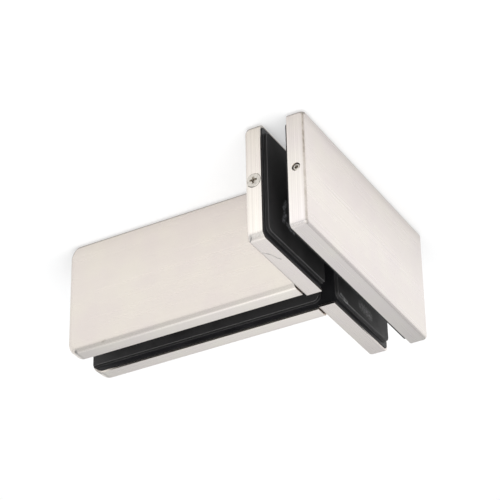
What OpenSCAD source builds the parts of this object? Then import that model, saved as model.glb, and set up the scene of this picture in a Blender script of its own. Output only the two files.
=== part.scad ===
// Three-way glass connector for a transom panel and a fin panel.
// A full-length front jaw and two angle bodies clamp the panels between gaskets.
// Folded sheet covers hide the clamp bodies and their bolts.
// X runs along the transom glass, +Y along the fin glass and +Z is up.
// The origin is where the two glass mid-planes cross, at mid-height.

/* [Glass] */
// Thickness of the transom glass
transom_t = 8; // [6:0.5:12]
// Thickness of the fin glass
fin_t = 10; // [8:0.5:15]
// Thickness of the rubber gaskets
gasket_t = 1.5; // [1:0.1:3]
// Corner radius of the gaskets
gasket_r = 3; // [2:0.5:8]
// Corner radius of the rear gaskets beside the fin
gasket_inner_r = 1; // [0.5:0.1:3]
// Corner radius of the fin gaskets at the tip of the fin
gasket_tip_r = 0.5; // [0.3:0.1:3]
// Distance of the rear and fin gaskets from the long edges of the clamp bodies
gasket_side = 1.8; // [0.3:0.1:3]
// Distance of the front gasket from the long edges of the front clamp plate
front_gasket_side = 0.1; // [0:0.1:3]
// Distance of the rear gaskets from the outer ends of the clamp bodies
gasket_end = 0.6; // [0.4:0.1:3]
// Overhang of the fin gaskets past the tips of the clamp bodies
gasket_tip_over = 0.4; // [0:0.1:0.8]
// Distance of the front gasket from the ends of the front clamp plate
front_gasket_end = 1; // [0.5:0.1:5]

/* [Covers] */
// Height of the covers
cover_h = 52; // [40:1:70]
// Length of the front cover, which also spans the two rear covers
main_l = 108; // [90:1:150]
// Length of the fin covers
fin_l = 108; // [80:1:150]
// Depth of a cover from its face to its rim
cover_depth = 7.5; // [7:0.1:10]
// Thickness of the cover sheet
sheet = 1; // [0.8:0.1:1.2]
// Outside radius of the front cover's folds
front_r = 1.6; // [1.4:0.1:3]
// Outside radius of the front cover's corners
front_corner_r = 1.6; // [1.4:0.1:5]
// Outside radius of the rear covers' long folds
rear_r = 1.2; // [1.2:0.1:3]
// Outside radius of the rear covers' end folds
rear_end_r = 2.4; // [1.4:0.1:3]
// Outside radius of the rear covers' corners
rear_corner_r = 2.8; // [1.4:0.1:5]
// Outside radius of the fin covers' long folds
fin_r = 2.3; // [1.4:0.1:3]
// Outside radius of the fin covers' end folds
fin_end_r = 3.6; // [1.4:0.1:4.5]
// Outside radius of the fin covers' corners
fin_corner_r = 5.4; // [1.4:0.1:7]
// Gap between the fin covers and the faces of the rear covers
shadow_gap = 0.4; // [0.3:0.1:1.5]
// Gap between the fin glass and the inner ends of the rear covers and gaskets
tongue_gap = 0.4; // [0.3:0.1:1.5]

/* [Clamp bodies] */
// Clearance of the clamp bodies inside the covers
body_clear = 0.1; // [0.05:0.05:0.3]
// Height of the clamp bodies above the rims of the covers
body_proud = 0.3; // [0.2:0.1:1]

/* [Clamp bolts] */
// Diameter of the clamp bolts
bolt_d = 6; // [5:0.5:6]
// Head diameter of the countersunk clamp bolts
bolt_head_d = 11.5; // [10:0.5:12]
// Hexagon socket of the clamp bolts, across flats
bolt_hex = 4; // [3:0.5:4]
// Distance of each main clamp bolt from the fin's mid-plane
main_bolt_x = 27; // [24:1:36]
// Distance of the first fin clamp bolt from the transom's mid-plane
fin_bolt_y = 42; // [36:1:50]
// Distance between the fin clamp bolts
fin_bolt_pitch = 52; // [30:1:56]
// Outside diameter of the sleeves that keep the bolts off the glass
sleeve_d = 12; // [10:0.5:14]

/* [Cover screws] */
// Diameter of the cover screws and grub screws
screw_d = 3; // [2.5:0.5:4]
// Head diameter of the countersunk cover screws
screw_head_d = 6; // [5:0.1:6.2]
// Length of the countersunk cover screws
screw_l = 8; // [6:1:12]
// Length of the grub screws
grub_l = 6; // [5:1:10]
// Hexagon socket of the grub screws, across flats
grub_hex = 1.5; // [1.3:0.1:2]
// Depth of the grub screws below the cover's surface
grub_recess = 0.35; // [0.1:0.05:0.6]
// Distance of the cover screws from the rims of the rear covers
screw_in = 3.3; // [3.2:0.1:4]
// Distance of the grub screws from the rims of the front and fin covers
grub_in = 3.6; // [3:0.1:4]

/* [Hidden] */
$fn = 64;
// Radial play of a screw in its tapped hole
thread_play = 0.04;
// Radial play of a clamp bolt in a plain hole, and of the sleeve on its bolt
bolt_play = 0.25;
// Radial play of a cover screw's head in its seat
head_play = 0.06;
// Gap round a grub screw in the sheet
window_gap = 0.3;
// Radial play of a sleeve in the gasket's hole, and its play between the bodies
sleeve_play = 0.3;
// Depth of a clamp bolt's head below the back of its clamp body
head_sunk = 0.4;
// Straight rim of a countersunk head
head_land = 0.4;
// Height of a cover screw's head above the cover
head_proud = 0.35;
// Wall left in front of a clamp bolt's tip
tip_wall = 1.4;
// Room left behind a cover screw's tip in its tapped hole
tip_room = 1;
// Smallest radius left on an inside fold
least_r = 0.2;
// Overlap of a cutting shape beyond the face that it cuts
over = 0.5;
// Width, length and depth of a cross recess's wings, and the width of its tapered centre
cross_w = 1;
cross_l = 3.2;
cross_depth = 1.3;
cross_core = 2;

// Distance from the outside of a cover to its clamp leg, and the leg's thickness and height
body_inset = sheet + body_clear;
leg_t = cover_depth + body_proud - body_inset;
body_h = cover_h - 2 * body_inset;
// Distances from the transom glass's mid-plane, outwards
main_pad = transom_t / 2;
main_jaw = main_pad + gasket_t;
main_rim = main_jaw + body_proud;
main_face = main_rim + cover_depth;
main_back = main_face - body_inset;
// Distances from the fin glass's mid-plane, outwards
fin_pad = fin_t / 2;
fin_jaw = fin_pad + gasket_t;
fin_rim = fin_jaw + body_proud;
fin_face = fin_rim + cover_depth;
fin_back = fin_face - body_inset;
// Ends of the covers along X and Y
main_end = main_l / 2;
tongue_end = fin_pad + tongue_gap;
fin_start = main_face + shadow_gap;
fin_end = fin_start + fin_l;
// Radii of each kind of cover: long fold, end fold, corner
front_radii = [front_r, front_r, front_corner_r];
rear_radii = [rear_r, rear_end_r, rear_corner_r];
fin_radii = [fin_r, fin_end_r, fin_corner_r];
// Part of a clamp bolt's length between the backs of its two legs that it leaves free
bolt_short = head_sunk + tip_wall;
fin_bolts = [fin_bolt_y, fin_bolt_y + fin_bolt_pitch];

steel = [0.82, 0.79, 0.76];
bolt_steel = [0.55, 0.55, 0.56];
body_black = [0.07, 0.07, 0.08];
rubber_black = [0.13, 0.13, 0.13];
nylon_black = [0.17, 0.17, 0.18];

// Corner of a sheet outline that a round of radius r takes away, at the origin
module corner_waste(r) {
  difference() {
    translate([-over, -over]) square(r + over);
    translate([r, r]) circle(r);
    translate([r, -2 * over]) square(r + 2 * over);
    translate([-2 * over, r]) square(r + 2 * over);
  }
}

// Rectangle from a to b along x and from 0 to d along y, with the corners on y = 0 rounded
module fold_outline(a, b, d, ra, rb) {
  difference() {
    translate([a, 0]) square([b - a, d]);
    if (ra > 0) translate([a, 0]) corner_waste(ra);
    if (rb > 0) translate([b, 0]) mirror([1, 0]) corner_waste(rb);
  }
}

// Rectangle from a to b along x and h tall about the x axis, with rounded ends where ra and rb say
module face_outline(a, b, h, ra, rb) {
  difference() {
    translate([a, -h / 2]) square([b - a, h]);
    for (side = [0, 1]) {
      mirror([0, side]) {
        if (ra > 0) translate([a, -h / 2]) corner_waste(ra);
        if (rb > 0) translate([b, -h / 2]) mirror([1, 0]) corner_waste(rb);
      }
    }
  }
}

// Folded box form with its face on y = 0 and its rim on y = d, from x = a to x = b.
// open_a leaves the end at a square, for a jaw that runs on there.
module jaw_form(a, b, h, d, radii, open_a) {
  plan_r = open_a ? 0 : radii[1];
  corner_r = open_a ? 0 : radii[2];
  intersection() {
    translate([0, 0, -h / 2]) linear_extrude(h) fold_outline(a, b, d, plan_r, radii[1]);
    translate([0, d, 0]) rotate([90, 0, 0]) linear_extrude(d) face_outline(a, b, h, corner_r, radii[2]);
    translate([a, 0, 0]) rotate([90, 0, 90]) linear_extrude(b - a)
      rotate(90) mirror([0, 1]) fold_outline(-h / 2, h / 2, d, radii[0], radii[0]);
  }
}

// The same form set in by i from the outside of the sheet, with its rim at depth d
module inner_form(a, b, i, d, radii, open_a) {
  inner_radii = [for (r = radii) max(r - i, least_r)];
  translate([0, i, 0])
    jaw_form(open_a ? a : a + i, b - i, cover_h - 2 * i, d - i, inner_radii, open_a);
}

// Empty folded cover with its face on y = 0
module folded_cover(a, b, radii, open_a) {
  difference() {
    jaw_form(a, b, cover_h, cover_depth, radii, open_a);
    inner_form(open_a ? a - over : a, b, sheet, cover_depth + over, radii, open_a);
  }
}

// Clamp leg that fills a cover, with its gasket face past the rim
module clamp_leg(a, b, radii, open_a) {
  inner_form(a, b, body_inset, cover_depth + body_proud, radii, open_a);
}

// Places a form that faces -Y: on the front jaw, on a rear jaw or on a fin jaw of the +X side
module at_front() { translate([0, -main_face, 0]) children(); }
module at_rear() { translate([0, main_face, 0]) mirror([0, 1, 0]) children(); }
module at_fin() { translate([fin_face, 0, 0]) rotate(90) children(); }
module to_left() { mirror([1, 0, 0]) children(); }

// Turns a form that stands on z = 0 to point along +Y or +X
module along_y() { rotate([-90, 0, 0]) children(); }
module along_x() { rotate([0, 90, 0]) children(); }

// Countersunk head and shank standing on z = 0, head down, enlarged by play
module countersunk(d, head_d, length, play) {
  cone_h = (head_d - d) / 2;
  cylinder(d = head_d + 2 * play, h = head_land);
  translate([0, 0, head_land])
    cylinder(d1 = head_d + 2 * play, d2 = d + 2 * play, h = cone_h);
  cylinder(d = d + 2 * play, h = length);
}

// Six-sided socket cut from z = 0 upwards
module hex_socket(across, depth) {
  translate([0, 0, -over]) cylinder(d = across / cos(30), h = depth + over, $fn = 6);
}

// Cross recess cut from z = 0 upwards, with a tapered centre
module cross_recess() {
  translate([0, 0, -over]) {
    for (turn = [0, 90]) {
      rotate(turn) translate([-cross_l / 2, -cross_w / 2, 0])
        cube([cross_l, cross_w, cross_depth + over]);
    }
  }
  cylinder(d1 = cross_core, d2 = cross_w, h = cross_depth + cross_w / 2);
}

// Clamp bolt standing on its head at z = 0, for two legs whose backs are 2 * back apart
module clamp_bolt(back) {
  difference() {
    countersunk(bolt_d, bolt_head_d, 2 * back - bolt_short, 0);
    hex_socket(bolt_hex, bolt_d / 2);
  }
}

// Seat for a clamp bolt's head and shank in a clamp body, with the body's back at z = 0
module bolt_seat() {
  translate([0, 0, -over]) cylinder(d = bolt_head_d + 2 * bolt_play, h = head_sunk + over);
  translate([0, 0, head_sunk]) countersunk(bolt_d, bolt_head_d, leg_t + over, bolt_play);
}

// Tapped hole through a clamp body, from its back at z = 0
module bolt_thread() {
  translate([0, 0, -over])
    cylinder(d = bolt_d + 2 * thread_play, h = leg_t + 2 * over);
}

// Sleeve round a clamp bolt, centred on the glass mid-plane between legs at distance jaw
module bolt_sleeve(jaw) {
  sleeve_l = 2 * (jaw - sleeve_play);
  difference() {
    cylinder(d = sleeve_d, h = sleeve_l, center = true);
    cylinder(d = bolt_d + 2 * bolt_play, h = sleeve_l + 2 * over, center = true);
  }
}

// Grub screw with its socket end at z = 0
module grub_screw() {
  difference() {
    cylinder(d = screw_d, h = grub_l);
    hex_socket(grub_hex, grub_l / 3);
  }
}

// Tapped hole for a grub screw, from the outside of the cover at z = 0
module grub_thread() {
  cylinder(d = screw_d + 2 * thread_play, h = grub_recess + grub_l + tip_room);
}

// Hole in the sheet that the grub screw is backed out into, through an end fold of radius end_r
module grub_window(end_r) {
  translate([0, 0, -over]) cylinder(d = screw_d + 2 * window_gap, h = max(sheet, end_r) + 2 * over);
}

// Countersunk cover screw with the top of its head at z = 0
module cover_screw() {
  difference() {
    countersunk(screw_d, screw_head_d, screw_l, 0);
    cross_recess();
  }
}

// Room for a cover screw, from the top of its head at z = 0
module cover_screw_seat() {
  countersunk(screw_d, screw_head_d, screw_l + tip_room, head_play);
}

// Gasket blank on z = 0 to gasket_t, from x = a to x = b, with holes at the listed x.
// It stays the distance side from the body's long edges and has the corner radii ra and rb.
module gasket_pad(a, b, side, ra, rb, holes) {
  difference() {
    linear_extrude(gasket_t)
      face_outline(a, b, body_h - 2 * side, ra, rb);
    for (x = holes) {
      translate([x, 0, -over])
        cylinder(d = sleeve_d + 2 * sleeve_play, h = gasket_t + 2 * over);
    }
  }
}

// Where the screws enter the ends of the covers, pointing inwards
module at_front_ends() {
  for (side = [0, 1]) {
    mirror([side, 0, 0]) translate([main_end, -main_rim - grub_in, 0]) rotate([0, -90, 0]) children();
  }
}
module at_rear_end() { translate([main_end, main_rim + screw_in, 0]) rotate([0, -90, 0]) children(); }
module at_fin_end() { translate([fin_rim + grub_in, fin_end, 0]) rotate([90, 0, 0]) children(); }

// Where the main clamp bolts enter the front plate, and the fin clamp bolts the left body
module at_main_bolts() {
  for (x = [-main_bolt_x, main_bolt_x]) {
    translate([x, 0, 0]) children();
  }
}
module at_fin_bolts() {
  for (y = fin_bolts) {
    translate([0, y, 0]) children();
  }
}

module front_cover() {
  color(steel) difference() {
    at_front() folded_cover(-main_end, main_end, front_radii, false);
    at_front_ends() grub_window(front_r);
  }
}

// Rear cover of the +X side: its face is notched for the fin leg, its flanges run on as tongues
module rear_cover() {
  notch_x = fin_back + body_clear;
  notch_h = cover_h - 2 * sheet;
  difference() {
    at_rear() folded_cover(tongue_end, main_end, rear_radii, true);
    translate([tongue_end - over, main_rim + over, -notch_h / 2])
      cube([notch_x - tongue_end + over, cover_depth, notch_h]);
    at_rear_end() translate([0, 0, -head_proud]) cover_screw_seat();
  }
}
module rear_cover_right() { color(steel) rear_cover(); }
module rear_cover_left() { color(steel) to_left() rear_cover(); }

// Fin cover of the +X side
module fin_cover() {
  difference() {
    at_fin() folded_cover(fin_start, fin_end, fin_radii, true);
    at_fin_end() grub_window(fin_end_r);
  }
}
module fin_cover_right() { color(steel) fin_cover(); }
module fin_cover_left() { color(steel) to_left() fin_cover(); }

module front_clamp_plate() {
  color(body_black) difference() {
    at_front() clamp_leg(-main_end, main_end, front_radii, false);
    at_main_bolts() translate([0, -main_back, 0]) along_y() bolt_seat();
    at_front_ends() grub_thread();
  }
}

// Angle casting of the +X side: one leg behind the transom, one along the fin
module angle_body() {
  difference() {
    union() {
      at_rear() clamp_leg(fin_jaw, main_end, rear_radii, true);
      at_fin() clamp_leg(main_jaw, fin_end, fin_radii, true);
    }
    translate([main_bolt_x, main_back, 0]) rotate([90, 0, 0]) bolt_thread();
    at_rear_end() translate([0, 0, -head_proud]) cover_screw_seat();
    at_fin_end() grub_thread();
  }
}
module right_angle_body() {
  color(body_black) difference() {
    angle_body();
    at_fin_bolts() translate([fin_back, 0, 0]) rotate([0, -90, 0]) bolt_thread();
  }
}
module left_angle_body() {
  color(body_black) difference() {
    to_left() angle_body();
    at_fin_bolts() translate([-fin_back, 0, 0]) along_x() bolt_seat();
  }
}

module front_gasket() {
  reach = main_end - body_inset - front_gasket_end;
  color(rubber_black) translate([0, -main_pad, 0]) rotate([90, 0, 0])
    gasket_pad(-reach, reach, front_gasket_side, gasket_r, gasket_r, [-main_bolt_x, main_bolt_x]);
}

// Gasket of the rear jaw of the +X side
module rear_gasket() {
  reach = main_end - body_inset - gasket_end;
  translate([0, main_jaw, 0]) rotate([90, 0, 0])
    gasket_pad(tongue_end, reach, gasket_side, gasket_inner_r, gasket_r, [main_bolt_x]);
}
module rear_gasket_right() { color(rubber_black) rear_gasket(); }
module rear_gasket_left() { color(rubber_black) to_left() rear_gasket(); }

// Gasket of the fin jaw of the +X side
module fin_gasket() {
  reach = fin_end - body_inset + gasket_tip_over;
  translate([fin_pad, 0, 0]) rotate([90, 0, 90])
    gasket_pad(main_back, reach, gasket_side, gasket_r, gasket_tip_r, fin_bolts);
}
module fin_gasket_right() { color(rubber_black) fin_gasket(); }
module fin_gasket_left() { color(rubber_black) to_left() fin_gasket(); }

module main_clamp_bolts() {
  color(bolt_steel) at_main_bolts()
    translate([0, head_sunk - main_back, 0]) along_y() clamp_bolt(main_back);
}
module fin_clamp_bolts() {
  color(bolt_steel) at_fin_bolts()
    translate([head_sunk - fin_back, 0, 0]) along_x() clamp_bolt(fin_back);
}
module main_bolt_sleeves() {
  color(nylon_black) at_main_bolts() along_y() bolt_sleeve(main_jaw);
}
module fin_bolt_sleeves() {
  color(nylon_black) at_fin_bolts() along_x() bolt_sleeve(fin_jaw);
}

module front_cover_grub_screws() {
  color(bolt_steel) at_front_ends() translate([0, 0, grub_recess]) grub_screw();
}
module rear_cover_screws() {
  color(bolt_steel) for (side = [0, 1]) {
    mirror([side, 0, 0]) at_rear_end() translate([0, 0, -head_proud]) cover_screw();
  }
}
module fin_cover_grub_screws() {
  color(bolt_steel) for (side = [0, 1]) {
    mirror([side, 0, 0]) at_fin_end() translate([0, 0, grub_recess]) grub_screw();
  }
}

front_cover();
rear_cover_right();
rear_cover_left();
fin_cover_right();
fin_cover_left();
front_clamp_plate();
right_angle_body();
left_angle_body();
front_gasket();
rear_gasket_right();
rear_gasket_left();
fin_gasket_right();
fin_gasket_left();
main_clamp_bolts();
fin_clamp_bolts();
main_bolt_sleeves();
fin_bolt_sleeves();
front_cover_grub_screws();
rear_cover_screws();
fin_cover_grub_screws();
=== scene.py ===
import math

import bmesh
import bpy
from mathutils import Matrix, Vector


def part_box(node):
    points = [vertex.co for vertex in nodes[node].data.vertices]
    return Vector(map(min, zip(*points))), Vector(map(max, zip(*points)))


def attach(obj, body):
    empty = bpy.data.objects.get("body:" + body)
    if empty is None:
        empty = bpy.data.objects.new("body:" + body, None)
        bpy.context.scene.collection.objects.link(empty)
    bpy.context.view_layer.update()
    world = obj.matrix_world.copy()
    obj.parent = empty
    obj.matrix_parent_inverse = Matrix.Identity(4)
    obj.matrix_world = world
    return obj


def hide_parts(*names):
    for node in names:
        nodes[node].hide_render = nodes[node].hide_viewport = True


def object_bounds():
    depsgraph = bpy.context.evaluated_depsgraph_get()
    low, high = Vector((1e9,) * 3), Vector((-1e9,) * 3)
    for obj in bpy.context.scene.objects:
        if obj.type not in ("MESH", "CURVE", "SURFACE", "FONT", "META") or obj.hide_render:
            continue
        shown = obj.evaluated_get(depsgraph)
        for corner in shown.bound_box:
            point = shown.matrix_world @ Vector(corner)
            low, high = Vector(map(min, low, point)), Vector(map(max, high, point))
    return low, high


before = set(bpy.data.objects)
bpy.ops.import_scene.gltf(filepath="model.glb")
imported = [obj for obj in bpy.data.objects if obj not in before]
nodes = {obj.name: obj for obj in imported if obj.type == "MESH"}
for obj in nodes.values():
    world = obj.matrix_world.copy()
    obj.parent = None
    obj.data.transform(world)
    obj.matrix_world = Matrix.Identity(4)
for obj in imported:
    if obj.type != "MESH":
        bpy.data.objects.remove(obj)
cadLow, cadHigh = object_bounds()
scene = bpy.context.scene
scene.view_settings.view_transform = "Standard"
print("frame: %d solids, box %s to %s" % (len(nodes), tuple(cadLow), tuple(cadHigh)))


# camera: the sample was photographed from above and the picture turned half round
cameraSet = {
    "place": (0.6145, -0.2943, 0.4245),
    "right": (-0.4890, -0.8721, 0.0190),
    "ahead": (-0.7473, 0.4075, -0.5249),
    "lens": 143.1,
    "sensor": 36.0,
    "clip": (0.01, 50.0),
}


def setCamera(s):
    data = bpy.data.cameras.new("photoCamera")
    data.lens = s["lens"]
    data.sensor_width = s["sensor"]
    data.clip_start, data.clip_end = s["clip"]
    cam = bpy.data.objects.new("photoCamera", data)
    scene.collection.objects.link(cam)
    back = -Vector(s["ahead"]).normalized()
    right = Vector(s["right"])
    right = (right - back * right.dot(back)).normalized()
    up = back.cross(right)
    turn = Matrix((right, up, back)).transposed()
    cam.matrix_world = Matrix.Translation(Vector(s["place"])) @ turn.to_4x4()
    scene.camera = cam


setCamera(cameraSet)
print("camera set")


# node helpers
def newFinish(name):
    mat = bpy.data.materials.new(name)
    mat.use_nodes = True
    tree = mat.node_tree
    tree.nodes.clear()
    out = tree.nodes.new("ShaderNodeOutputMaterial")
    skin = tree.nodes.new("ShaderNodeBsdfPrincipled")
    tree.links.new(skin.outputs["BSDF"], out.inputs["Surface"])
    return mat, tree, skin


def addNode(tree, kind, **values):
    node = tree.nodes.new(kind)
    for key, value in values.items():
        setattr(node, key, value)
    return node


def put(tree, source, socket):
    if isinstance(source, bpy.types.NodeSocket):
        tree.links.new(source, socket)
    else:
        socket.default_value = source


def math2(tree, how, a, b=0.0, clamp=False):
    node = addNode(tree, "ShaderNodeMath", operation=how, use_clamp=clamp)
    put(tree, a, node.inputs[0])
    put(tree, b, node.inputs[1])
    return node.outputs[0]


def vec2(tree, how, a, b):
    node = addNode(tree, "ShaderNodeVectorMath", operation=how)
    put(tree, a, node.inputs[0])
    put(tree, b, node.inputs[1])
    return node.outputs[0]


def mixVec(tree, fac, a, b):
    node = addNode(tree, "ShaderNodeMix", data_type="VECTOR")
    put(tree, fac, node.inputs["Factor"])
    put(tree, a, node.inputs[4])
    put(tree, b, node.inputs[5])
    return node.outputs[1]


def mixCol(tree, fac, a, b, how="MIX"):
    node = addNode(tree, "ShaderNodeMix", data_type="RGBA", blend_type=how)
    put(tree, fac, node.inputs["Factor"])
    put(tree, a, node.inputs[6])
    put(tree, b, node.inputs[7])
    return node.outputs[2]


def spread(tree, value, low, high, toLow, toHigh):
    node = addNode(tree, "ShaderNodeMapRange", clamp=True)
    put(tree, value, node.inputs[0])
    for slot, number in zip((1, 2, 3, 4), (low, high, toLow, toHigh)):
        node.inputs[slot].default_value = number
    return node.outputs[0]


def cloud(tree, where, scale, detail, rough):
    node = addNode(tree, "ShaderNodeTexNoise")
    put(tree, where, node.inputs["Vector"])
    node.inputs["Scale"].default_value = scale
    node.inputs["Detail"].default_value = detail
    node.inputs["Roughness"].default_value = rough
    return node.outputs[0]


def relief(tree, height, strength, depth):
    node = addNode(tree, "ShaderNodeBump")
    node.inputs["Strength"].default_value = strength
    node.inputs["Distance"].default_value = depth
    put(tree, height, node.inputs["Height"])
    return node.outputs[0]


def rgb(r, g, b):
    return (r, g, b, 1.0)


# rubs, scratches and strokes of painted shade, each a line of points
markSet = {
    "core": 0.25,  # share of the width at full strength
    "detail": 3.0,
    "rough": 0.6,
    "grainBand": (0.38, 0.6),
}


def strokeAt(tree, where, points, width, s):  # 1 on the line through the points, 0 from the width on
    nearest = None
    for a, b in zip(points, points[1:]):
        span = Vector(b) - Vector(a)
        fromStart = vec2(tree, "SUBTRACT", where, a)
        dot = addNode(tree, "ShaderNodeVectorMath", operation="DOT_PRODUCT")
        put(tree, fromStart, dot.inputs[0])
        put(tree, tuple(span), dot.inputs[1])
        along = math2(tree, "DIVIDE", dot.outputs["Value"], span.length_squared, True)
        foot = addNode(tree, "ShaderNodeVectorMath", operation="SCALE")
        foot.inputs[0].default_value = span
        put(tree, along, foot.inputs["Scale"])
        gap = addNode(tree, "ShaderNodeVectorMath", operation="DISTANCE")
        put(tree, fromStart, gap.inputs[0])
        put(tree, foot.outputs[0], gap.inputs[1])
        far = gap.outputs["Value"]
        nearest = far if nearest is None else math2(tree, "MINIMUM", nearest, far)
    return spread(tree, nearest, s["core"] * width, width, 1.0, 0.0)


def addMarks(tree, where, color, marks, s):  # lays the marks over a colour, each broken up by its own grain
    for mark in marks:
        stroke = strokeAt(tree, where, mark["points"], mark["width"], s)
        grain = cloud(tree, where, mark["grain"], s["detail"], s["rough"])
        broken = spread(tree, grain, *s["grainBand"], mark["least"], 1.0)
        shown = math2(tree, "MULTIPLY", math2(tree, "MULTIPLY", stroke, broken), mark["strength"])
        color = mixCol(tree, shown, color, mark["color"])
    return color


# satin steel, brushed along each face and across the folded ends
steelSet = {
    "roughLow": 0.26,
    "roughHigh": 0.33,
    "anisotropy": 0.6,
    "grainLong": 9.0,
    "grainCross": 2300.0,
    "endGain": 4.2,
    "endShadeLow": rgb(0.87, 0.865, 0.85),  # painted shade low on the end flanges, painted light higher up
    "endLightHigh": rgb(1.17, 1.185, 1.195),
    "hairDark": 0.08,
    "mottle": 60.0,
    "speck": 1300.0,
    "foldShade": rgb(0.22, 0.195, 0.165),
    "foldShadeShare": 0.95,
    "foldSmooth": 0.85,
    # dark tone of the coarse brush lines, and of the painted shade at the lower edges
    "film": rgb(0.06, 0.055, 0.05),
    "rosy": rgb(0.985, 0.968, 0.968),
    "straw": rgb(1.01, 1.01, 0.977),
    "bump": 0.02,
    "bumpDepth": 0.00002,
    "fineGrain": (1.0, 3.0, 0.6),  # scale, detail and roughness of the brush lines
    "broadGrain": (0.22, 2.0, 0.5),
    "hairGrain": (0.5, 2.0, 0.6),
    "mottleGrain": (2.0, 0.5),  # detail and roughness
    "speckGrain": (2.0, 0.6),
    "fineShare": 0.85,
    "hairBand": (0.34, 0.66),
    "mottleBand": (0.36, 0.64),
    "streakBand": (0.3, 0.7),
    "foldBand": (0.84, 0.997),  # how squarely the surface faces along an axis
    "endBand": (0.62, 0.78),
    "flangeBand": (0.80, 0.95),
    "faceBand": (0.3, 0.8),
    "underFold": (-0.45, -0.10),
    "overFold": (0.08, 0.30),
    "sideFoldShade": 0.22,
    "foldShadeLeast": 0.7,
    "endHeights": (-0.024, 0.022),
    "halfHeight": 0.026,
    "edgeReach": 0.006,
    "glossTurn": 0.25,  # gloss spreads across the brush lines
}

frontSteelSet = {
    "faceGain": 0.25,
    "speckGain": 0.2,
    "edgeShade": 0.17,
    "faceShade": 0.17,
    "shadeReach": 0.030,
    "pale": rgb(0.842, 0.792, 0.770),
    "dark": rgb(0.787, 0.737, 0.715),
    "flangeLightShade": rgb(0.96, 0.965, 0.965),
    "marks": (
        # painted shade: two dark strokes down the near end's fold
        {"points": ((0.0535, -0.0128, -0.024), (0.0535, -0.0128, 0.0245)), "width": 0.0008, "grain": 400.0,
         "least": 0.6, "strength": 0.62, "color": rgb(0.42, 0.37, 0.31)},
        {"points": ((0.0535, -0.0128, -0.025), (0.0535, -0.0128, -0.006)), "width": 0.0005, "grain": 500.0,
         "least": 0.2, "strength": 0.6, "color": rgb(0.20, 0.17, 0.14)},
        {"points": ((0.0533, -0.0126, 0.0253), (0.0528, -0.0124, 0.0254)), "width": 0.0010, "grain": 900.0,
         "least": 0.8, "strength": 0.85, "color": rgb(0.22, 0.20, 0.18)},
        # painted shade: a grey stroke along the near end's top fold
        {"points": ((0.0538, -0.0124, 0.0254), (0.0538, -0.0060, 0.0254)), "width": 0.0017, "grain": 700.0,
         "least": 0.5, "strength": 0.28, "color": rgb(0.42, 0.41, 0.40)},
    ),
}

rearSteelSet = {
    "faceGain": 0.35,
    "speckGain": 0.28,
    "edgeShade": 0.17,
    "faceShade": 0.17,
    "shadeReach": 0.030,
    "pale": rgb(0.850, 0.795, 0.760),
    "dark": rgb(0.795, 0.740, 0.705),
    "flangeLightShade": rgb(1.06, 1.065, 1.07),
    "marks": (
        {"points": ((0.0427, 0.0119, 0.026), (0.0411, 0.0106, 0.026), (0.0391, 0.0095, 0.026),
                    (0.0367, 0.0090, 0.026), (0.0352, 0.0081, 0.026)),
         "width": 0.00045, "grain": 700.0, "least": 0.4, "strength": 0.8, "color": rgb(0.34, 0.325, 0.31)},
        # painted shade: two grey strokes along the near end's top fold
        {"points": ((0.0531, 0.0122, 0.0245), (0.0534, 0.0112, 0.0254)), "width": 0.0013, "grain": 600.0,
         "least": 0.2, "strength": 0.55, "color": rgb(0.50, 0.48, 0.46)},
        {"points": ((0.0533, 0.0122, 0.0251), (0.0533, 0.0058, 0.0251)), "width": 0.0021, "grain": 700.0,
         "least": 0.5, "strength": 0.30, "color": rgb(0.42, 0.41, 0.405)},
    ),
}

finSteelSet = {
    "faceGain": 0.5,
    "speckGain": 0.3,
    "edgeShade": 0.08,
    "faceShade": 0.05,
    "shadeReach": 0.026,
    "pale": rgb(0.792, 0.739, 0.697),
    "dark": rgb(0.737, 0.684, 0.642),
    "flangeLightShade": rgb(1.21, 1.225, 1.24),  # painted light: the long flanges paler than the faces
    "marks": (
        {"points": ((0.0141, 0.1022, 0.0246), (0.0140, 0.1036, 0.0249)), "width": 0.0006, "grain": 900.0,
         "least": 0.7, "strength": 0.5, "color": rgb(0.40, 0.36, 0.31)},
        # painted shade: a dark stroke on the rim round the far tip
        {"points": ((-0.0076, 0.1213, 0.0200), (-0.0076, 0.1209, 0.0225), (-0.0076, 0.1199, 0.0242),
                    (-0.0076, 0.1184, 0.0253)),
         "width": 0.0012, "grain": 500.0, "least": 0.7, "strength": 0.9, "color": rgb(0.05, 0.047, 0.043)},
    ),
}


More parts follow.
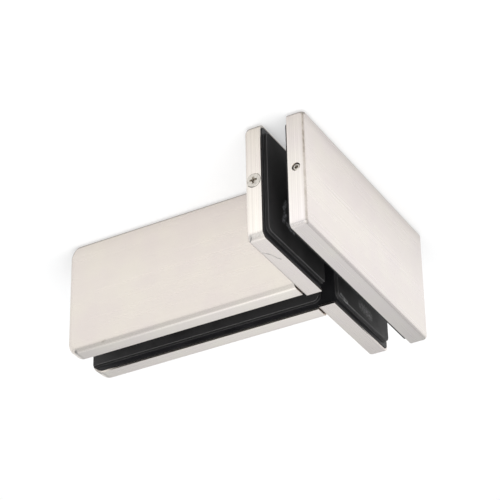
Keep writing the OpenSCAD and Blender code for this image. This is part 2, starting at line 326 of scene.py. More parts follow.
def satinSteel(name, longAxis, own, s):
    mat, tree, skin = newFinish(name)
    where = addNode(tree, "ShaderNodeTexCoord").outputs["Object"]
    geo = addNode(tree, "ShaderNodeNewGeometry")
    split = addNode(tree, "ShaderNodeSeparateXYZ")
    put(tree, geo.outputs["Normal"], split.inputs[0])
    height = addNode(tree, "ShaderNodeSeparateXYZ")
    put(tree, where, height.inputs[0])
    sides = [math2(tree, "ABSOLUTE", split.outputs[i]) for i in range(3)]
    flat = math2(tree, "MAXIMUM", math2(tree, "MAXIMUM", sides[0], sides[1]), sides[2])
    onFold = spread(tree, flat, *s["foldBand"], 1.0, 0.0)
    isEnd = spread(tree, sides[longAxis], *s["endBand"], 0.0, 1.0)

    # brush lines run along the cover, and up and down on its ends
    alongScale = [s["grainCross"]] * 3
    alongScale[longAxis] = s["grainLong"]
    endScale = (s["grainCross"], s["grainCross"], s["grainLong"])
    alongDir = [0.0, 0.0, 0.0]
    alongDir[longAxis] = 1.0
    stretched = mixVec(tree, isEnd, vec2(tree, "MULTIPLY", where, alongScale),
                       vec2(tree, "MULTIPLY", where, endScale))
    put(tree, mixVec(tree, isEnd, alongDir, (0.0, 0.0, 1.0)), skin.inputs["Tangent"])
    fine = cloud(tree, stretched, *s["fineGrain"])
    broad = cloud(tree, stretched, *s["broadGrain"])
    streak = math2(tree, "ADD", math2(tree, "MULTIPLY", fine, s["fineShare"]),
                   math2(tree, "MULTIPLY", broad, 1.0 - s["fineShare"]))
    gain = spread(tree, isEnd, 0.0, 1.0, own["faceGain"], s["endGain"])
    lift = math2(tree, "MULTIPLY", math2(tree, "SUBTRACT", streak, 0.5), gain)
    speck = math2(tree, "SUBTRACT", cloud(tree, where, s["speck"], *s["speckGrain"]), 0.5)
    lift = math2(tree, "ADD", lift, math2(tree, "MULTIPLY", speck, own["speckGain"]))
    color = mixCol(tree, math2(tree, "ADD", lift, 0.5, True), own["dark"], own["pale"])

    # painted light and shade: ends paler towards the top and darker low down, flanges lighter or darker than
    # the faces
    up = spread(tree, height.outputs[2], *s["endHeights"], 0.0, 1.0)
    endLightShade = mixCol(tree, isEnd, rgb(1.0, 1.0, 1.0), mixCol(tree, up, s["endShadeLow"], s["endLightHigh"]))
    color = mixCol(tree, 1.0, color, endLightShade, "MULTIPLY")
    # painted light and shade on the flanges, which face up and down
    isFlange = spread(tree, sides[2], *s["flangeBand"], 0.0, 1.0)
    color = mixCol(tree, isFlange, color, mixCol(tree, 1.0, color, own["flangeLightShade"], "MULTIPLY"))

    # coarse brush lines on the ends
    hair = spread(tree, cloud(tree, stretched, *s["hairGrain"]), *s["hairBand"], s["hairDark"], 0.0)
    color = mixCol(tree, math2(tree, "MULTIPLY", hair, isEnd), color, s["film"])

    # painted shade: darker towards the lower edges
    rise = math2(tree, "ADD", height.outputs[2], s["halfHeight"])
    lowShade = math2(tree, "ADD", spread(tree, rise, 0.0, s["edgeReach"], own["edgeShade"], 0.0),
                 spread(tree, rise, 0.0, own["shadeReach"], own["faceShade"], 0.0))
    onFace = math2(tree, "SUBTRACT", spread(tree, sides[2], *s["faceBand"], 1.0, 0.0), isEnd, True)
    color = mixCol(tree, math2(tree, "MULTIPLY", lowShade, onFace), color, s["film"])
    patch = spread(tree, cloud(tree, where, s["mottle"], *s["mottleGrain"]), *s["mottleBand"], 0.0, 1.0)
    color = mixCol(tree, 1.0, color, mixCol(tree, patch, s["rosy"], s["straw"]), "MULTIPLY")

    # painted shade along the downward folds, and the folds polished smoother
    lower = math2(tree, "MULTIPLY", spread(tree, split.outputs[2], *s["underFold"], 1.0, s["sideFoldShade"]),
                  spread(tree, split.outputs[2], *s["overFold"], 1.0, 0.0))
    share = s["foldShadeShare"]
    foldDark = spread(tree, broad, *s["streakBand"], s["foldShadeLeast"] * share, share)
    foldDark = math2(tree, "MULTIPLY", math2(tree, "MULTIPLY", onFold, foldDark), lower)
    color = mixCol(tree, foldDark, color, s["foldShade"])
    put(tree, addMarks(tree, where, color, own["marks"], markSet), skin.inputs["Base Color"])

    rough = spread(tree, streak, *s["streakBand"], s["roughHigh"], s["roughLow"])
    rough = math2(tree, "MULTIPLY", rough, spread(tree, onFold, 0.0, 1.0, 1.0, s["foldSmooth"]))
    put(tree, rough, skin.inputs["Roughness"])
    put(tree, relief(tree, fine, s["bump"], s["bumpDepth"]), skin.inputs["Normal"])
    skin.inputs["Metallic"].default_value = 1.0
    skin.inputs["Anisotropic"].default_value = s["anisotropy"]
    skin.inputs["Anisotropic Rotation"].default_value = s["glossTurn"]
    return mat


# black coated casting
castingSet = {
    "deep": rgb(0.006, 0.006, 0.007),
    "worn": rgb(0.016, 0.016, 0.018),
    "roughLow": 0.38,
    "roughHigh": 0.58,
    "bump": 0.22,
    "bumpDepth": 0.00008,
    "grain": (1900.0, 3.0, 0.6),
    "patch": (120.0, 3.0, 0.55),
    "patchBand": (0.3, 0.7),
}


def blackCasting(name, s):
    mat, tree, skin = newFinish(name)
    where = addNode(tree, "ShaderNodeTexCoord").outputs["Object"]
    grain = cloud(tree, where, *s["grain"])
    patch = cloud(tree, where, *s["patch"])
    put(tree, mixCol(tree, patch, s["deep"], s["worn"]), skin.inputs["Base Color"])
    put(tree, spread(tree, patch, *s["patchBand"], s["roughLow"], s["roughHigh"]), skin.inputs["Roughness"])
    put(tree, relief(tree, grain, s["bump"], s["bumpDepth"]), skin.inputs["Normal"])
    return mat


# moulded rubber with a matt bloom and pale scuffs, painted light towards the top, painted shade on the sides
# and painted highlights on the edges
rubberSet = {
    "clean": rgb(0.0135, 0.0132, 0.0135),
    "bloom": rgb(0.039, 0.038, 0.0385),
    "dust": 0.19,
    "roughLow": 0.46,
    "roughHigh": 0.70,
    "shine": 0.20,
    "wallPaintedShade": 0.4,  # painted shade: the sides darker than the clamping face
    "edgeHighlight": rgb(0.10, 0.098, 0.10),
    "edgeHighlightShare": 0.7,
    "bump": 0.15,
    "bumpDepth": 0.00006,
    "marks": (
        {"points": ((0.0373, 0.004, 0.0028), (0.0392, 0.004, 0.0066), (0.0381, 0.004, 0.0088),
                    (0.0399, 0.004, 0.0125)),
         "width": 0.0016, "grain": 1700.0, "least": 0.0, "strength": 0.8, "color": rgb(0.44, 0.45, 0.48)},
        {"points": ((0.0371, 0.004, 0.0124), (0.0347, 0.004, 0.0134), (0.0314, 0.004, 0.0134)),
         "width": 0.0014, "grain": 1700.0, "least": 0.0, "strength": 0.8, "color": rgb(0.42, 0.42, 0.44)},
        {"points": ((-0.008, 0.004, 0.004), (-0.050, 0.004, 0.012)), "width": 0.022, "grain": 160.0,
         "least": 0.5, "strength": 0.75, "color": rgb(0.086, 0.084, 0.085)},
        {"points": ((-0.0081, 0.004, 0.0211), (-0.0107, 0.004, 0.0217), (-0.0137, 0.004, 0.0222)),
         "width": 0.0009, "grain": 700.0, "least": 0.2, "strength": 0.9, "color": rgb(0.42, 0.42, 0.42)},
        {"points": ((-0.0264, 0.004, 0.0176), (-0.0310, 0.004, 0.0177), (-0.0346, 0.004, 0.0183)),
         "width": 0.0028, "grain": 1000.0, "least": 0.1, "strength": 0.8, "color": rgb(0.34, 0.34, 0.34)},
        {"points": ((-0.0106, 0.004, 0.0228), (-0.0440, 0.004, 0.0232)), "width": 0.0005, "grain": 500.0,
         "least": 0.3, "strength": 0.65, "color": rgb(0.20, 0.20, 0.20)},
    ),
}

nylonSet = {
    "clean": rgb(0.022, 0.022, 0.023),
    "bloom": rgb(0.032, 0.032, 0.033),
    "dust": 0.0,
    "roughLow": 0.38,
    "roughHigh": 0.52,
    "shine": 0.45,
    "wallPaintedShade": 1.0,
    "edgeHighlight": rgb(0.032, 0.032, 0.033),
    "edgeHighlightShare": 0.0,
    "bump": 0.10,
    "bumpDepth": 0.00004,
    "marks": (),
}

# shared by rubber and nylon
mouldSet = {
    "grain": (1400.0, 2.0, 0.5),
    "patch": (70.0, 4.0, 0.6),
    "patchBand": (0.3, 0.7),
    "bloomBand": (0.35, 0.7),
    "paintedLightHeights": (-0.022, 0.022),
    "wallBand": (0.1, 0.7),  # from the sides to the clamping face
    "edgeFrom": (0.15, 0.40),
    "edgeTo": (0.85, 0.98),
}


def blackRubber(name, faceAxis, s, m):
    mat, tree, skin = newFinish(name)
    where = addNode(tree, "ShaderNodeTexCoord").outputs["Object"]
    split = addNode(tree, "ShaderNodeSeparateXYZ")
    put(tree, addNode(tree, "ShaderNodeNewGeometry").outputs["Normal"], split.inputs[0])
    facing = math2(tree, "ABSOLUTE", split.outputs[faceAxis])
    grain = cloud(tree, where, *m["grain"])
    patch = cloud(tree, where, *m["patch"])
    height = addNode(tree, "ShaderNodeSeparateXYZ")
    put(tree, where, height.inputs[0])
    # painted light: the rubber paler towards the top
    dust = spread(tree, height.outputs[2], *m["paintedLightHeights"], -s["dust"], s["dust"])
    bloom = spread(tree, math2(tree, "ADD", patch, dust), *m["bloomBand"], 0.0, 1.0)
    color = mixCol(tree, bloom, s["clean"], s["bloom"])
    # painted shade on the sides
    wall = spread(tree, facing, *m["wallBand"], s["wallPaintedShade"], 1.0)
    color = mixCol(tree, 1.0, color, wall, "MULTIPLY")
    onEdge = math2(tree, "MULTIPLY", spread(tree, facing, *m["edgeFrom"], 0.0, s["edgeHighlightShare"]),
                   spread(tree, facing, *m["edgeTo"], 1.0, 0.0))
    color = mixCol(tree, onEdge, color, s["edgeHighlight"])  # painted highlight along the edges
    put(tree, addMarks(tree, where, color, s["marks"], markSet), skin.inputs["Base Color"])
    put(tree, spread(tree, patch, *m["patchBand"], s["roughLow"], s["roughHigh"]), skin.inputs["Roughness"])
    put(tree, relief(tree, grain, s["bump"], s["bumpDepth"]), skin.inputs["Normal"])
    skin.inputs["Specular IOR Level"].default_value = s["shine"]
    return mat


# turned screw steel
screwSet = {
    "pale": rgb(0.70, 0.665, 0.61),
    "dark": rgb(0.50, 0.47, 0.43),
    "roughLow": 0.22,
    "roughHigh": 0.40,
    "patch": (900.0, 3.0, 0.6),
    "patchBand": (0.3, 0.7),
}


def turnedSteel(name, s):
    mat, tree, skin = newFinish(name)
    where = addNode(tree, "ShaderNodeTexCoord").outputs["Object"]
    patch = cloud(tree, where, *s["patch"])
    shade = spread(tree, patch, *s["patchBand"], 0.0, 1.0)
    put(tree, mixCol(tree, shade, s["dark"], s["pale"]), skin.inputs["Base Color"])
    put(tree, spread(tree, patch, *s["patchBand"], s["roughHigh"], s["roughLow"]), skin.inputs["Roughness"])
    skin.inputs["Metallic"].default_value = 1.0
    return mat


steelFront = satinSteel("satinSteelFront", 0, frontSteelSet, steelSet)
steelRear = satinSteel("satinSteelRear", 0, rearSteelSet, steelSet)
steelFin = satinSteel("satinSteelFin", 1, finSteelSet, steelSet)
casting = blackCasting("blackCasting", castingSet)
rubberMain = blackRubber("blackRubberMain", 1, rubberSet, mouldSet)
rubberFin = blackRubber("blackRubberFin", 0, rubberSet, mouldSet)
screwSteel = turnedSteel("turnedScrewSteel", screwSet)
nylon = blackRubber("blackNylon", 2, nylonSet, mouldSet)
print("finishes made")

finishOf = {
    "front_cover": steelFront,
    "rear_cover_right": steelRear,
    "rear_cover_left": steelRear,
    "fin_cover_right": steelFin,
    "fin_cover_left": steelFin,
    "front_clamp_plate": casting,
    "right_angle_body": casting,
    "left_angle_body": casting,
    "front_gasket": rubberMain,
    "rear_gasket_right": rubberMain,
    "rear_gasket_left": rubberMain,
    "fin_gasket_right": rubberFin,
    "fin_gasket_left": rubberFin,
    "main_clamp_bolts": screwSteel,
    "fin_clamp_bolts": screwSteel,
    "main_bolt_sleeves": nylon,
    "fin_bolt_sleeves": nylon,
    "front_cover_grub_screws": screwSteel,
    "rear_cover_screws": screwSteel,
    "fin_cover_grub_screws": screwSteel,
}

for nodeName, finish in finishOf.items():
    nodes[nodeName].data.materials.clear()
    nodes[nodeName].data.materials.append(finish)
print("finishes given to the solids")


# mesh helpers
def addPiece(name, mesh, finish, slotName, *stands):
    piece = bpy.data.objects.new(name, mesh)
    scene.collection.objects.link(piece)
    mesh.materials.clear()
    mesh.materials.append(finish)
    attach(piece, "root")
    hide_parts(*stands)
    return piece


def camelName(node):  # a piece's name from its node's
    first, *rest = node.split("_")
    return first + "".join(word.capitalize() for word in rest)


def meshFrom(bm, name):
    bmesh.ops.recalc_face_normals(bm, faces=bm.faces)
    mesh = bpy.data.meshes.new(name)
    bm.to_mesh(mesh)
    bm.free()
    return mesh


# closed turned form from pairs of distance along the axis and radius
def turned(bm, profile, origin, axis, steps=48):
    axis = Vector(axis).normalized()
    side = axis.orthogonal().normalized()
    other = axis.cross(side)
    rings = []
    for along, radius in profile:
        ring = []
        for i in range(steps):
            angle = 2 * math.pi * i / steps
            out = side * math.cos(angle) + other * math.sin(angle)
            ring.append(bm.verts.new(Vector(origin) + axis * along + out * radius))
        rings.append(ring)
    for low, high in zip(rings, rings[1:]):
        for i in range(steps):
            bm.faces.new((low[i], low[i - 1], high[i - 1], high[i]))
    bm.faces.new(rings[0])
    bm.faces.new(rings[-1])


def block(bm, low, high):
    xs, ys, zs = zip(low, high)
    corners = [bm.verts.new((x, y, z)) for x in xs for y in ys for z in zs]
    for face in ((0, 1, 3, 2), (4, 6, 7, 5), (0, 4, 5, 1), (2, 3, 7, 6), (0, 2, 6, 4), (1, 5, 7, 3)):
        bm.faces.new([corners[i] for i in face])


def cutAway(mesh, makeCutters):  # returns the mesh less each cutter
    work = bpy.data.objects.new("work", mesh)
    scene.collection.objects.link(work)
    tools = []
    for i, maker in enumerate(makeCutters):
        bm = bmesh.new()
        maker(bm)
        tool = bpy.data.objects.new("tool%d" % i, meshFrom(bm, "tool%d" % i))
        scene.collection.objects.link(tool)
        cut = work.modifiers.new("cut%d" % i, "BOOLEAN")
        cut.operation = "DIFFERENCE"
        cut.solver = "EXACT"
        cut.object = tool
        tools.append(tool)
    bpy.context.view_layer.update()
    graph = bpy.context.evaluated_depsgraph_get()
    done = bpy.data.meshes.new_from_object(work.evaluated_get(graph))
    done.name = mesh.name
    for thing in tools + [work]:
        bpy.data.objects.remove(thing, do_unlink=True)
    return done


def smoothPiece(piece, angle=32.0, weight=80):
    mesh = piece.data
    mesh.polygons.foreach_set("use_smooth", [True] * len(mesh.polygons))
    mesh.set_sharp_from_angle(angle=math.radians(angle))
    even = piece.modifiers.new("evenGloss", "WEIGHTED_NORMAL")
    even.keep_sharp = True
    even.weight = weight


# folded covers: u runs along the cover, v is height, w is depth from the face to the rim
coverSet = {
    "sheet": 0.001,
    "rimRound": 0.00016,
    "foldSteps": 9,
    "cornerSteps": 14,
    "front": {"foldLong": 0.0016, "foldEnd": 0.0016, "corner": 0.0016, "ground": 0.0,
              "farFold": 0.0024, "farCorner": 0.0030, "lowCorner": 0.0024, "lowGround": 0.0008},
    "rear": {"foldLong": 0.0012, "foldEnd": 0.0024, "corner": 0.0028, "ground": 0.0008},
    "fin": {"foldLong": 0.0023, "foldEnd": 0.0036, "corner": 0.0054, "ground": 0.0004},
    "foldMost": 0.00365,  # a rounder fold would bare the casting
    "sheetPlay": 0.0003,
    "headPlay": 0.00016,
    "headLand": 0.0004,
    "headTip": 0.0015,
    "seatDeep": 0.004,
    "windowDeep": 0.0045,
    "cutPast": 0.001,  # how far the cutters stand outside
    "gapClear": 0.0005,
    "foldLimit": 0.97,
    "rimBevel": 0.29,
    "innerLeast": 0.0002,
    "weld": 1e-7,
}


# points round the cover: place, outward direction and fold radius
def coverEdge(a, b, half, r, isOpen, s):
    steps = s["cornerSteps"]

    def arc(cu, cv, start, corner, foldEnd, ground):
        for i in range(steps + 1):
            angle = math.radians(start + 90.0 * i / steps)
            nu, nv = math.cos(angle), math.sin(angle)
            fold = r["foldLong"] + (foldEnd - r["foldLong"]) * nu * nu + ground * 4 * (nu * nv) ** 2
            fold = min(fold, s["foldLimit"] * max(corner, foldEnd), s["foldMost"])
            yield (cu + nu * corner, cv + nv * corner, nu, nv, fold)

    c = r["corner"]
    end = r["foldEnd"]
    ground = r["ground"]
    low = r.get("lowCorner", c)  # two corners of the front cover were ground rounder
    points = []
    if isOpen:
        points.append((a, -half, 0.0, -1.0, r["foldLong"]))
    points += arc(b - low, -half + low, -90, low, end, r.get("lowGround", ground))
    points += arc(b - c, half - c, 0, c, end, ground)
    if isOpen:
        points.append((a, half, 0.0, 1.0, r["foldLong"]))
    else:
        far = r["farCorner"]
        points += arc(a + far, half - far, 90, far, r["farFold"], ground)
        points += arc(a + c, -half + c, 180, c, end, ground)
    return points


def coverChain(fold, depth, s):  # section through the sheet from the face, round the rim and back inside
    n = s["foldSteps"]
    t = s["sheet"]
    e = s["rimRound"]
    bevel = s["rimBevel"] * e
    inner = max(fold - t, s["innerLeast"])
    chain = []
    for k in range(n + 1):
        angle = math.pi / 2 * (1 - k / n)
        chain.append((fold * (1 - math.cos(angle)), fold * (1 - math.sin(angle))))
    for inset, drop in ((0.0, e), (bevel, bevel), (e, 0.0), (t - e, 0.0), (t - bevel, bevel), (t, e)):
        chain.append((inset, depth - drop))
    for k in range(n + 1):
        angle = math.pi / 2 * k / n
        chain.append((t + inner * (1 - math.cos(angle)), t + inner * (1 - math.sin(angle))))
    return chain


def foldedCover(name, a, b, half, depth, r, isOpen, place, s):
    bm = bmesh.new()
    columns = []
    for u, v, nu, nv, fold in coverEdge(a, b, half, r, isOpen, s):
        chain = coverChain(fold, depth, s)
        columns.append([bm.verts.new(place(u - nu * i, v - nv * i, w)) for i, w in chain])
    count = len(columns)
    for i in range(count if not isOpen else count - 1):
        one, two = columns[i], columns[(i + 1) % count]
        for k in range(len(one) - 1):
            bm.faces.new((one[k], two[k], two[k + 1], one[k + 1]))
    bm.faces.new([c[0] for c in columns])
    bm.faces.new([c[-1] for c in columns])
    if isOpen:
        bm.faces.new(columns[0] + columns[-1][::-1])
    bmesh.ops.remove_doubles(bm, verts=bm.verts, dist=s["weld"])
    return meshFrom(bm, name)


def placeFront(lo):
    return lambda u, v, w: Vector((u, lo.y + w, v))


def placeRear(hi, side):
    return lambda u, v, w: Vector((side * u, hi.y - w, v))


def placeFin(lo, hi, side):
    return lambda u, v, w: Vector((hi.x - w if side > 0 else lo.x + w, u, v))


def boxMid(name):
    lo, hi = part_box(name)
    return (lo + hi) / 2


def makeFrontCover(s):
    lo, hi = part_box("front_cover")
    grubLo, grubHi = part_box("front_cover_grub_screws")
    radius = (grubHi.z - grubLo.z) / 2 + s["sheetPlay"]
    y = boxMid("front_cover_grub_screws").y
    mesh = foldedCover("frontCover", lo.x, hi.x, hi.z, hi.y - lo.y, s["front"], False, placeFront(lo), s)
    window = ((-s["cutPast"], radius), (s["windowDeep"], radius))
    cutters = [
        lambda bm: turned(bm, window, (hi.x, y, 0), (-1, 0, 0)),
        lambda bm: turned(bm, window, (lo.x, y, 0), (1, 0, 0)),
    ]
    piece = addPiece("frontCover", cutAway(mesh, cutters), steelFront, "satin_steel", "front_cover")
    smoothPiece(piece)


def makeRearCover(node, side, s):
    lo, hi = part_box(node)
    a, b = (lo.x, hi.x) if side > 0 else (-hi.x, -lo.x)
    headLo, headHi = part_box("rear_cover_screws")
    y = boxMid("rear_cover_screws").y
    radius = (headHi.z - headLo.z) / 2 + s["headPlay"]
    land = s["headLand"]
    tip = s["headTip"]
    past = s["cutPast"]
    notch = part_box("fin_cover_right")[1].x - s["sheet"]
    mesh = foldedCover(node, a, b, hi.z, hi.y - lo.y, s["rear"], True, placeRear(hi, side), s)
    t = s["sheet"]

    def seat(bm):
        profile = ((-past, radius), (land, radius), (land + radius - tip, tip), (land + s["seatDeep"], tip))
        turned(bm, profile, (side * headHi.x, y, 0), (-side, 0, 0))

    def finGap(bm):
        x0, x1 = sorted((side * (a - past), side * notch))
        block(bm, (x0, lo.y + s["gapClear"], -hi.z + t), (x1, hi.y + past, hi.z - t))

    piece = addPiece(camelName(node), cutAway(mesh, [seat, finGap]), steelRear, "satin_steel", node)
    smoothPiece(piece)


def makeFinCover(node, side, s):
    lo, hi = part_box(node)
    grubLo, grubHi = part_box("fin_cover_grub_screws")
    radius = (grubHi.z - grubLo.z) / 2 + s["sheetPlay"]
    x = side * (grubHi.x - (grubHi.z - grubLo.z) / 2)
    mesh = foldedCover(node, lo.y, hi.y, hi.z, hi.x - lo.x, s["fin"], True, placeFin(lo, hi, side), s)

    def window(bm):
        profile = ((-s["cutPast"], radius), (s["windowDeep"], radius))
        turned(bm, profile, (x, hi.y, 0), (0, -1, 0))

    piece = addPiece(camelName(node), cutAway(mesh, [window]), steelFin, "satin_steel", node)
    smoothPiece(piece)


makeFrontCover(coverSet)
makeRearCover("rear_cover_right", 1, coverSet)
makeRearCover("rear_cover_left", -1, coverSet)
makeFinCover("fin_cover_right", 1, coverSet)
makeFinCover("fin_cover_left", -1, coverSet)
print("covers folded")


# moulded gaskets: crisp edges and a thin lip round the base
gasketSet = {
    "corner": 0.003,
    "innerRight": 0.001,
    "innerLeft": 0.0026,
    "tipCorner": 0.0005,
    "lipHigh": 0.0004,
    "lipWide": 0.00045,
    "roll": 0.00022,
    "rollSteps": 3,
    "cornerSteps": 12,
    "lipRound": 0.0001,
    "lipBevel": 0.00003,
    "holeRound": 0.00025,
    "sleevePlay": 0.0003,
    "cutPast": 0.001,
    "smoothAngle": 40.0,
}


def makeGasket(node, place, a, b, cornerA, cornerB, half, thick, holes, holeRadius, s):
    bm = bmesh.new()
    edge = []
    for u, v, c, start in ((b, -half, cornerB, -90), (b, half, cornerB, 0), (a, half, cornerA, 90),
                           (a, -half, cornerA, 180)):
        cu = u - c if u == b else u + c
        cv = v + c if v < 0 else v - c
        for i in range(s["cornerSteps"] + 1):
            angle = math.radians(start + 90.0 * i / s["cornerSteps"])
            nu, nv = math.cos(angle), math.sin(angle)
            edge.append((cu + c * nu, cv + c * nv, nu, nv))
    r = s["roll"]
    lip = s["lipWide"]
    high = s["lipHigh"]
    soft = s["lipRound"]
    bevel = s["lipBevel"]
    chain = [(0.0, 0.0), (0.0, high - soft), (bevel, high - bevel), (soft, high), (lip, high)]
    for k in range(s["rollSteps"] + 1):
        angle = math.pi / 2 * k / s["rollSteps"]
        chain.append((lip + r * (1 - math.cos(angle)), thick - r + r * math.sin(angle)))
    rings = [[bm.verts.new(place(u - nu * i, v - nv * i, w)) for u, v, nu, nv in edge] for i, w in chain]
    for low, top in zip(rings, rings[1:]):
        for i in range(len(edge)):
            bm.faces.new((low[i - 1], low[i], top[i], top[i - 1]))
    bm.faces.new(rings[0])
    bm.faces.new(rings[-1])
    mesh = meshFrom(bm, node)
    e = s["holeRound"]
    past = s["cutPast"]
    axis = place(0, 0, 1) - place(0, 0, 0)

    def holeAt(u):
        profile = ((-past, holeRadius), (thick - e, holeRadius), (thick + past, holeRadius + e + past))
        return lambda bm: turned(bm, profile, place(u, 0, 0), axis)

    mesh = cutAway(mesh, [holeAt(u) for u in holes])
    piece = addPiece(camelName(node), mesh, finishOf[node], "black_rubber", node)
    smoothPiece(piece, s["smoothAngle"])


def makeGaskets(s):
    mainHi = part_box("main_bolt_sleeves")[1]
    finLo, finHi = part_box("fin_bolt_sleeves")
    sleeve = mainHi.z
    holeRadius = sleeve + s["sleevePlay"]
    mainX = mainHi.x - sleeve
    finY = (finLo.y + sleeve, finHi.y - sleeve)
    c = s["corner"]
    lo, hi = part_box("front_gasket")
    makeGasket("front_gasket", placeFront(lo), lo.x, hi.x, c, c, hi.z, hi.y - lo.y,
               (-mainX, mainX), holeRadius, s)
    for node, side in (("rear_gasket_right", 1), ("rear_gasket_left", -1)):
        lo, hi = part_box(node)
        ends = (s["innerRight"], c) if side > 0 else (c, s["innerLeft"])
        makeGasket(node, placeRear(hi, 1), lo.x, hi.x, *ends, hi.z, hi.y - lo.y,
                   (side * mainX,), holeRadius, s)
    for node, side in (("fin_gasket_right", 1), ("fin_gasket_left", -1)):
        lo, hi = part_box(node)
        ends = (c, s["tipCorner"])
        makeGasket(node, placeFin(lo, hi, side), lo.y, hi.y, *ends, hi.z, hi.x - lo.x, finY, holeRadius, s)


makeGaskets(gasketSet)
print("gaskets moulded")


# cover screws with a cross recess, and socket grub screws
coverScrewSet = {
    "length": 0.008,
    "headRound": 0.00025,
    "crown": ((0.0, 3.0), (0.15, 1.6), (0.45, 0.5), (1.0, 0.0)),  # depth and inset, in head roundings
    "land": 0.0004,
    "shank": 0.0015,
    "tip": 0.0004,
    "armReach": 0.00175,
    "armHalf": 0.00052,
    "tipReach": 0.0009,
    "tipHalf": 0.0003,
    "crossDeep": 0.0014,
    "core": 0.00105,
    "coreTip": 0.0003,
    "coreDeep": 0.0016,
    "cutPast": 0.0003,
}


def crossRecess(bm, origin, axis, s):  # four tapered arms
    axis = Vector(axis)
    side = Vector((0, 0, 1))
    other = axis.cross(side)
    rings = []
    top = (-s["cutPast"], s["armReach"], s["armHalf"])
    tip = (s["crossDeep"], s["tipReach"], s["tipHalf"])
    for along, reach, h in (top, tip):
        outline = ((h, h), (h, reach), (-h, reach), (-h, h), (-reach, h), (-reach, -h),
                   (-h, -h), (-h, -reach), (h, -reach), (h, -h), (reach, -h), (reach, h))
        rings.append([bm.verts.new(Vector(origin) + axis * along + side * p + other * q) for p, q in outline])
    for i in range(len(outline)):
        bm.faces.new((rings[0][i - 1], rings[0][i], rings[1][i], rings[1][i - 1]))
    bm.faces.new(rings[0])
    bm.faces.new(rings[1])


def makeCoverScrews(s):
    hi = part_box("rear_cover_screws")[1]
    y = boxMid("rear_cover_screws").y
    head = hi.z
    length = s["length"]
    r = s["headRound"]
    cone = s["land"] + head - s["shank"]
    profile = [(depth * r, head - inset * r) for depth, inset in s["crown"]]
    profile += [(s["land"], head), (cone, s["shank"]), (length - s["tip"], s["shank"]),
                (length, s["shank"] - s["tip"])]
    bm = bmesh.new()
    for side in (1, -1):
        turned(bm, profile, (side * hi.x, y, 0), (-side, 0, 0))
    mesh = meshFrom(bm, "rearCoverScrews")
    core = ((-s["cutPast"], s["core"]), (s["coreDeep"], s["coreTip"]))
    cutters = []
    for side in (1, -1):
        cutters.append(lambda bm, k=side: crossRecess(bm, (k * hi.x, y, 0), (-k, 0, 0), s))
        cutters.append(lambda bm, k=side: turned(bm, core, (k * hi.x, y, 0), (-k, 0, 0)))
    mesh = cutAway(mesh, cutters)
    piece = addPiece("rearCoverScrews", mesh, screwSteel, "screw_steel", "rear_cover_screws")
    smoothPiece(piece)


grubSet = {
    "chamfer": 0.0003,
    "socket": 0.0015,  # across flats
    "socketDeep": 0.002,
    "length": 0.006,
    "point": 0.0006,
    "cutPast": 0.0002,
}


def makeGrubs(name, node, ends, s):  # ends: place of the socket end and the inward direction
    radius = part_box(node)[1].z
    c = s["chamfer"]
    point = s["point"]
    length = s["length"]
    profile = ((0.0, radius - c), (c, radius), (length - point, radius), (length, radius - point))
    bm = bmesh.new()
    for place, inward in ends:
        turned(bm, profile, place, inward)
    mesh = meshFrom(bm, name)
    reach = s["socket"] / 2 / math.cos(math.pi / 6)
    hexagon = ((-s["cutPast"], reach), (s["socketDeep"], reach))
    cutters = [lambda bm, at=place, way=inward: turned(bm, hexagon, at, way, 6) for place, inward in ends]
    piece = addPiece(name, cutAway(mesh, cutters), screwSteel, "screw_steel", node)
    smoothPiece(piece)


def makeAllScrews():
    makeCoverScrews(coverScrewSet)
    lo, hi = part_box("front_cover_grub_screws")
    y = boxMid("front_cover_grub_screws").y
    frontEnds = (((hi.x, y, 0), (-1, 0, 0)), ((lo.x, y, 0), (1, 0, 0)))
    makeGrubs("frontCoverGrubScrews", "front_cover_grub_screws", frontEnds, grubSet)
    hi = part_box("fin_cover_grub_screws")[1]
    x = hi.x - hi.z
    finEnds = (((x, hi.y, 0), (0, -1, 0)), ((-x, hi.y, 0), (0, -1, 0)))
    makeGrubs("finCoverGrubScrews", "fin_cover_grub_screws", finEnds, grubSet)


makeAllScrews()
print("screws cut")


# white table, and a pale dome that is greyer behind and to one side
stageSet = {
    "floorSize": 6.0,
    "floorDrop": 0.00005,
    "floorColor": rgb(0.94, 0.94, 0.94),
    "floorGlow": 0.48,
    "domeBright": rgb(1.17, 1.175, 1.175),
    "domeDim": rgb(0.33, 0.345, 0.36),
    "domeLow": rgb(0.78, 0.785, 0.79),
    "skirting": (0.09, 0.30),
    "dimSide": (-0.95, -0.45),
    "dimBack": (0.28, 0.62),
    "overhead": (0.80, 0.95),
    "farLow": (0.27, 0.45),
    "farBack": (0.5, 0.8),
}


def makeFloor(s):
    mesh = bpy.data.meshes.new("floor")
    bm = bmesh.new()
    bmesh.ops.create_grid(bm, x_segments=2, y_segments=2, size=s["floorSize"])
    bmesh.ops.translate(bm, verts=bm.verts, vec=(0, 0, cadLow.z - s["floorDrop"]))
    bm.to_mesh(mesh)
    bm.free()
    floor = bpy.data.objects.new("floor", mesh)
    scene.collection.objects.link(floor)
    mat = bpy.data.materials.new("whiteTable")
    mat.use_nodes = True
    tree = mat.node_tree
    tree.nodes.clear()
    out = tree.nodes.new("ShaderNodeOutputMaterial")
    matt = tree.nodes.new("ShaderNodeBsdfDiffuse")
    matt.inputs["Color"].default_value = s["floorColor"]
    glow = tree.nodes.new("ShaderNodeEmission")
    path = tree.nodes.new("ShaderNodeLightPath")
    seen = math2(tree, "MAXIMUM", path.outputs["Is Camera Ray"], path.outputs["Is Glossy Ray"])
    seen = math2(tree, "MAXIMUM", seen, path.outputs["Is Transmission Ray"])
    blend = tree.nodes.new("ShaderNodeMixShader")
    put(tree, math2(tree, "MULTIPLY", seen, s["floorGlow"]), blend.inputs[0])
    put(tree, matt.outputs[0], blend.inputs[1])
    put(tree, glow.outputs[0], blend.inputs[2])
    put(tree, blend.outputs[0], out.inputs["Surface"])
    mesh.materials.append(mat)


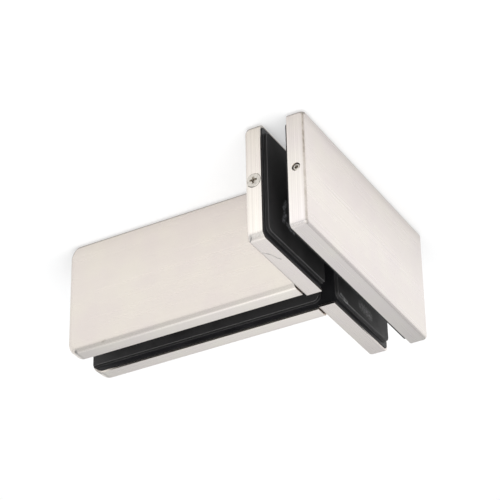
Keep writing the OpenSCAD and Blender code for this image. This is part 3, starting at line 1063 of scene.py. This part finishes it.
def makeRoom(s):
    world = bpy.data.worlds.new("paleDome")
    world.use_nodes = True
    tree = world.node_tree
    where = addNode(tree, "ShaderNodeTexCoord").outputs["Generated"]
    split = addNode(tree, "ShaderNodeSeparateXYZ")
    put(tree, where, split.inputs[0])
    side = spread(tree, split.outputs[0], *s["dimSide"], 0.0, 1.0)
    behind = spread(tree, split.outputs[1], *s["dimBack"], 1.0, 0.0)
    behind = math2(tree, "MAXIMUM", behind, spread(tree, split.outputs[2], *s["overhead"], 0.0, 1.0))
    lowBack = math2(tree, "MULTIPLY", spread(tree, split.outputs[2], *s["farLow"], 1.0, 0.0),
                    spread(tree, split.outputs[1], *s["farBack"], 0.0, 1.0))
    behind = math2(tree, "MAXIMUM", behind, lowBack)
    tone = mixCol(tree, math2(tree, "MULTIPLY", side, behind), s["domeDim"], s["domeBright"])
    tone = mixCol(tree, spread(tree, split.outputs[2], *s["skirting"], 0.0, 1.0), s["domeLow"], tone)
    put(tree, tone, tree.nodes["Background"].inputs["Color"])
    scene.world = world


# soft box beside the camera, a lamp for the table and a panel behind
lampSet = {
    "cameraSoftBox": {
        "place": (0.70, -0.60, 1.0),
        "aim": (0.05, 0.0, 0.0),
        "size": (1.6, 1.6),
        "watts": 6.6,
        "mirrored": True,
    },
    "tableLamp": {
        "place": (0.085, 0.03, 0.20),
        "aim": (0.085, 0.03, -0.026),
        "size": (0.12, 0.12),
        "watts": 0.11,
        "mirrored": False,  # lights the table, and doesn't show in the gloss
    },
    "backPanel": {
        "place": (-0.165, 0.12, 0.25),
        "aim": (0.03, 0.0, 0.026),
        "size": (0.22, 0.22),
        "watts": 0.048,
        "mirrored": True,
    },
}


def makeLamp(name, s):
    data = bpy.data.lights.new(name, "AREA")
    data.shape = "RECTANGLE"
    data.size, data.size_y = s["size"]
    data.energy = s["watts"]
    lamp = bpy.data.objects.new(name, data)
    scene.collection.objects.link(lamp)
    lamp.location = s["place"]
    lamp.visible_camera = False
    lamp.visible_glossy = s["mirrored"]
    aim = Vector(s["aim"]) - Vector(s["place"])
    lamp.rotation_euler = aim.to_track_quat("-Z", "Y").to_euler()


makeFloor(stageSet)
makeRoom(stageSet)
for lampName, lampValues in lampSet.items():
    makeLamp(lampName, lampValues)
print("floor, room and lamps made")
